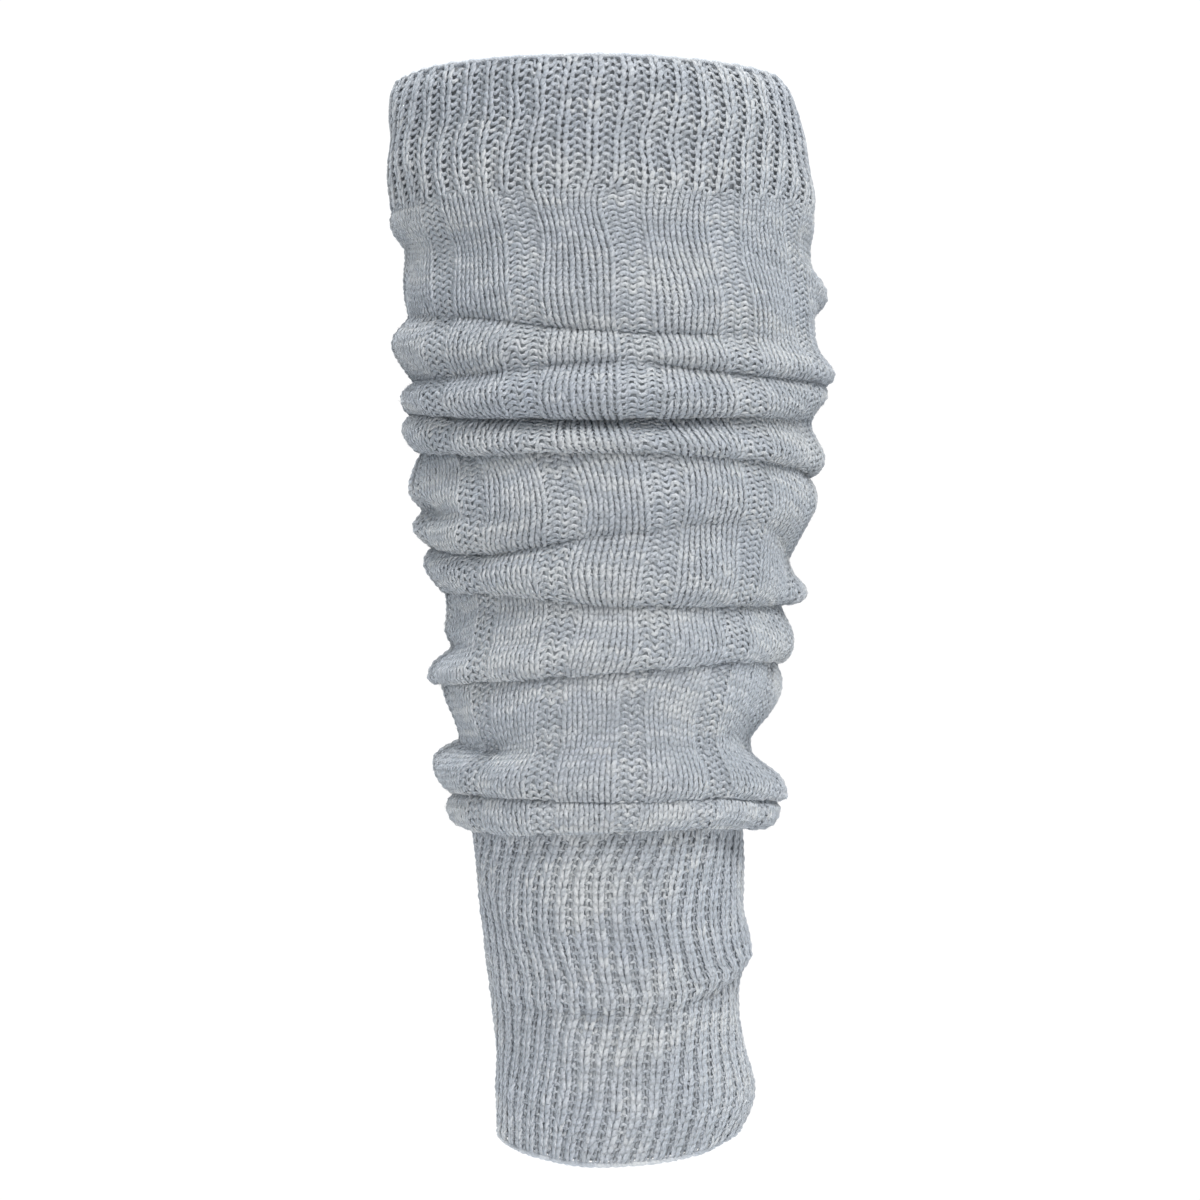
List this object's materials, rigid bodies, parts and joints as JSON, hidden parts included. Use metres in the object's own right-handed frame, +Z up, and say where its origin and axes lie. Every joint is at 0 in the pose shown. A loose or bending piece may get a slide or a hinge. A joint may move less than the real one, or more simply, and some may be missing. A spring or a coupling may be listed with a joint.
{
  "type": "leg warmer",
  "caption": "Knitted leg warmer in the open shape of a leg: ribbed calf cuff, wide-rib body slouched into slanted folds, long ribbed ankle cuff.",
  "frame": {"origin": "middle of the calf cuff, where the wearer's calf holds it up", "axes": "+Z up along the leg towards the knee, -Y out of the front of the leg, +X to the right as seen from the front"},
  "size_m": [0.1349, 0.1313, 0.3172],
  "materials": {
    "melange_knit": "matt mid-weight rib knit in light blue-grey heathered yarn, slightly fuzzy"
  },
  "bodies": {
    "root": {"top_cuff": "melange_knit", "leg_body": "melange_knit", "ankle_cuff": "melange_knit"}
  },
  "joints": []
}
